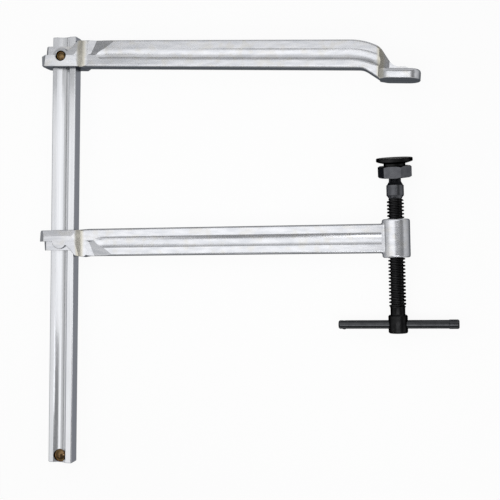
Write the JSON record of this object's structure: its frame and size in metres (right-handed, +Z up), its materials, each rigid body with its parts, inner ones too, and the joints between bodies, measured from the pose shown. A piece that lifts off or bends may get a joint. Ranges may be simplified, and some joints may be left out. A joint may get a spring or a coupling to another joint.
{
  "type": "deep-reach F-clamp",
  "caption": "Heavy deep-reach F-clamp: grooved rail, forged fixed arm with gooseneck anvil, forged sliding arm, threaded spindle with swivel pressure pad and sliding T-bar.",
  "frame": {"origin": "centre of the bottom of the whole clamp's box, on the surface it lies on", "axes": "+X runs out along the arms to the spindle, +Y up the rail to the fixed arm, +Z up from the surface"},
  "size_m": [0.52, 0.5374, 0.0421],
  "materials": {
    "zinc_rail": "drawn steel, bright zinc plated, satin",
    "zinc_forging": "drop-forged steel, blasted and bright zinc plated",
    "yellow_zinc": "steel, yellow zinc plated",
    "black_oxide": "turned steel, black oxide, oiled"
  },
  "bodies": {
    "frame": {"rail": "zinc_rail", "rail_stop_pin": "yellow_zinc", "fixed_arm": "zinc_forging", "fixed_arm_pin": "yellow_zinc"},
    "slider": {"sliding_arm": "zinc_forging"},
    "carrier": {"retaining_half_left": "black_oxide", "retaining_half_right": "black_oxide"},
    "spindle": {"spindle": "black_oxide"},
    "bar": {"tommy_bar": "black_oxide"},
    "cup": {"thrust_cup": "black_oxide"},
    "pad": {"swivel_nut": "black_oxide", "pressure_plate": "black_oxide"}
  },
  "joints": [
    {"name": "arm_slide", "type": "slide", "parent": "frame", "child": "slider", "axis": [0, 1, 0], "range_m": [-0.249, 0.022]},
    {"name": "spindle_advance", "type": "slide", "parent": "slider", "child": "carrier", "axis": [-0.0344, 0.9994, 0], "range_m": [-0.02301, 0.05801]},
    {"name": "spindle_turn", "type": "hinge", "parent": "carrier", "child": "spindle", "pos_m": [0.18751, 0.01807, 0.0189], "axis": [-0.0344, 0.9994, 0], "range_deg": [-2070, 5220]},
    {"name": "bar_slide", "type": "slide", "parent": "spindle", "child": "bar", "axis": [0.9994, 0.0344, 0], "range_m": [-0.046, 0.048]},
    {"name": "pad_tip", "type": "hinge", "parent": "carrier", "child": "cup", "pos_m": [0.18485, 0.09532, 0.0189], "axis": [0.9994, 0.0344, 0], "range_deg": [-23.5, 4.5]},
    {"name": "pad_rock", "type": "hinge", "parent": "cup", "child": "pad", "pos_m": [0.18485, 0.09532, 0.0189], "axis": [-0.0057, 0.1649, -0.9863], "range_deg": [-8, 8]}
  ],
  "couplings": [
    {"joint": "spindle_advance", "follows": "spindle_turn", "m_per_rad": 0.00063662}
  ]
}
